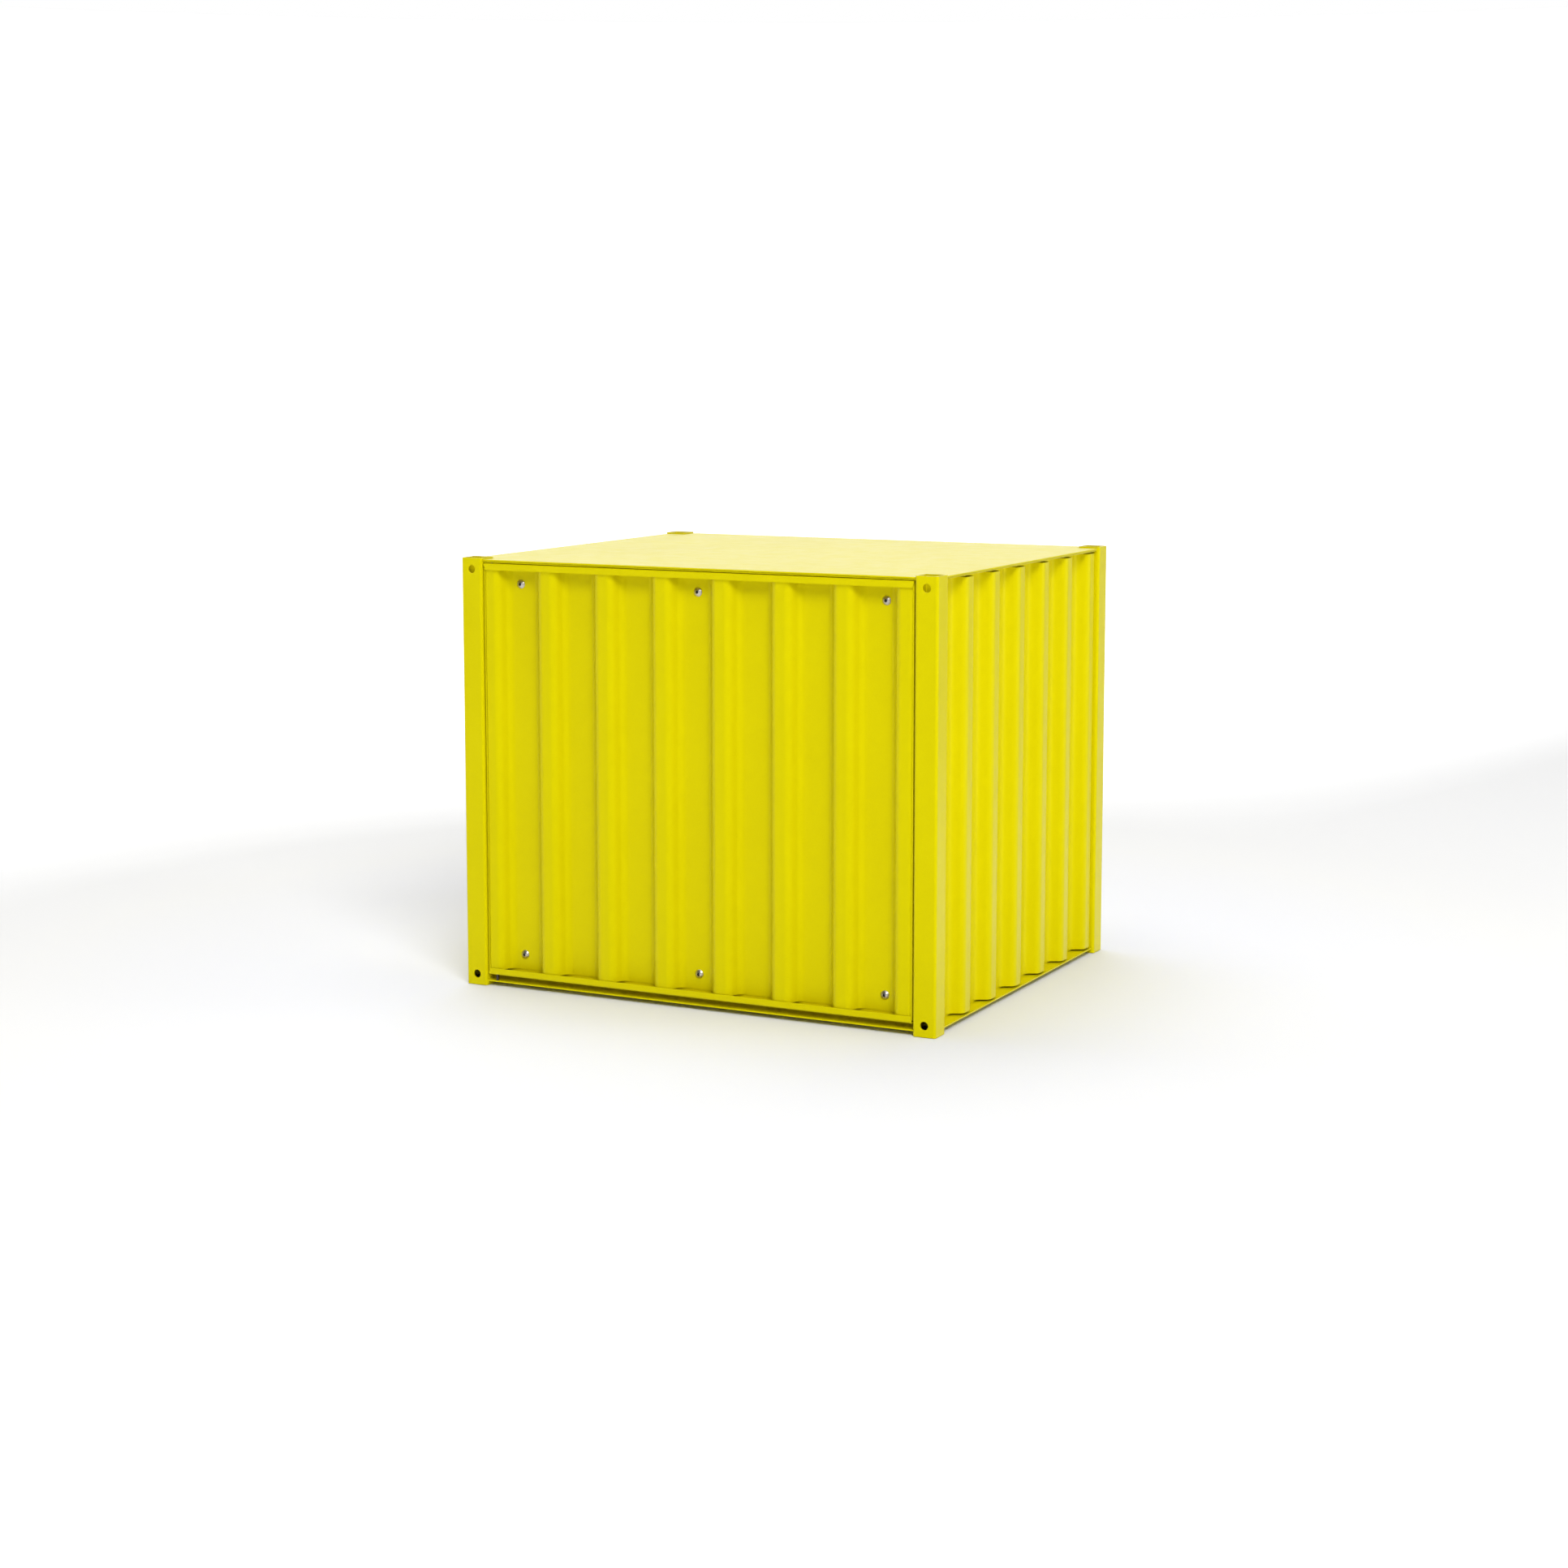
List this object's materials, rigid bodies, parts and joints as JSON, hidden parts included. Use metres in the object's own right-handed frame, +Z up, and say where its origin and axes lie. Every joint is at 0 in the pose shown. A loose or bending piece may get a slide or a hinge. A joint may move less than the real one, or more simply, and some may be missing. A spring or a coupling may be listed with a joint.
{
  "type": "storage cabinet",
  "caption": "Stackable sheet-steel storage cabinet in the form of a shipping container, with tube corner posts, corrugated walls and a hinged corrugated door held by a push latch.",
  "frame": {"origin": "on the floor, under the middle of the cabinet", "axes": "+Z up; the door faces -Y; +X to the right as seen from the door"},
  "size_m": [0.55, 0.47, 0.46],
  "materials": {
    "powder_yellow": "satin powder coat",
    "stainless": "brushed, bead-blasted heads",
    "black_plastic": "matte",
    "tape": "matte foam tape",
    "rubber": "matte",
    "magnet": "nickel plated"
  },
  "bodies": {
    "cabinet": {"base_rail_front": "powder_yellow", "base_rail_left": "powder_yellow", "base_rail_rear": "powder_yellow", "base_rail_right": "powder_yellow", "bonding_tape": "tape", "buffer_pads": "rubber", "end_plug_front_left": "black_plastic", "end_plug_front_right": "black_plastic", "end_plug_rear_left": "black_plastic", "end_plug_rear_right": "black_plastic", "floor_nuts": "stainless", "floor_panel": "powder_yellow", "floor_screws": "stainless", "latch_bracket": "powder_yellow", "latch_housing": "black_plastic", "latch_lock_ring": "black_plastic", "latch_screws": "stainless", "latch_spring": "stainless", "pivot_pin_lower": "stainless", "pivot_pin_upper": "stainless", "post_front_left": "powder_yellow", "post_front_right": "powder_yellow", "post_rear_left": "powder_yellow", "post_rear_right": "powder_yellow", "top_panel": "powder_yellow", "top_rail_front": "powder_yellow", "top_rail_left": "powder_yellow", "top_rail_rear": "powder_yellow", "top_rail_right": "powder_yellow", "wall_panel_left": "powder_yellow", "wall_panel_rear": "powder_yellow", "wall_panel_right": "powder_yellow"},
    "door": {"door_tray": "powder_yellow", "door_skin": "powder_yellow", "door_screws": "stainless", "door_nuts": "stainless", "pivot_block_lower": "black_plastic", "pivot_block_upper": "black_plastic"},
    "latch_plunger": {"latch_plunger": "black_plastic", "latch_magnet": "magnet"}
  },
  "joints": [
    {"name": "door_hinge", "type": "hinge", "parent": "cabinet", "child": "door", "pos_m": [-0.24006, -0.229, 0.23], "axis": [0, 0, -1], "range_deg": [0, 110]},
    {"name": "latch_press", "type": "slide", "parent": "cabinet", "child": "latch_plunger", "axis": [0, 1, 0], "range_m": [0, 0.0025], "stiffness_N_per_m": 1200, "springref_m": -0.002, "deforming": ["latch_spring"]}
  ]
}
